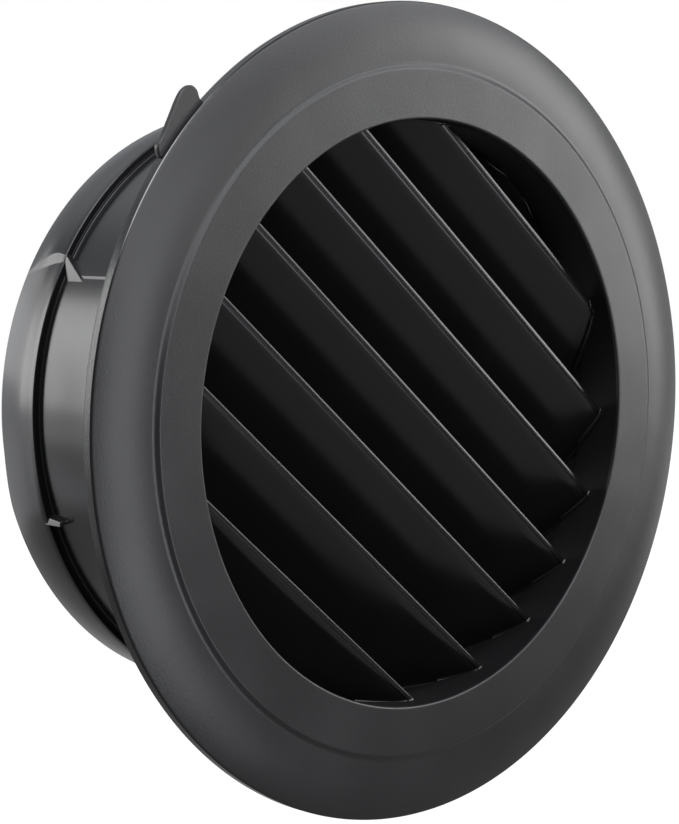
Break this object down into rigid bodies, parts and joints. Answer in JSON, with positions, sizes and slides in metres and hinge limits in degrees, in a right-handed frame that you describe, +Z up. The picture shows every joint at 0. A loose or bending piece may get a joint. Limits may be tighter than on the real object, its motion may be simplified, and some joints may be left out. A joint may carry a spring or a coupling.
{
  "type": "round louvred vent grille",
  "caption": "Round wall vent grille: domed flange, tilted slats across the opening and a spigot with a beaded rear band that slides into a duct.",
  "frame": {"origin": "on the duct's axis, in the plane where the flange's rim meets the wall", "axes": "+Y along the duct's axis into the wall, -Y out of the front, +Z up, +X to the right seen from the front"},
  "size_m": [0.19, 0.0697, 0.19],
  "materials": {
    "black_plastic": "fine matt grain on the flange, smoother on the spigot and slats"
  },
  "bodies": {
    "root": {"vent_grille": "black_plastic"}
  },
  "joints": []
}
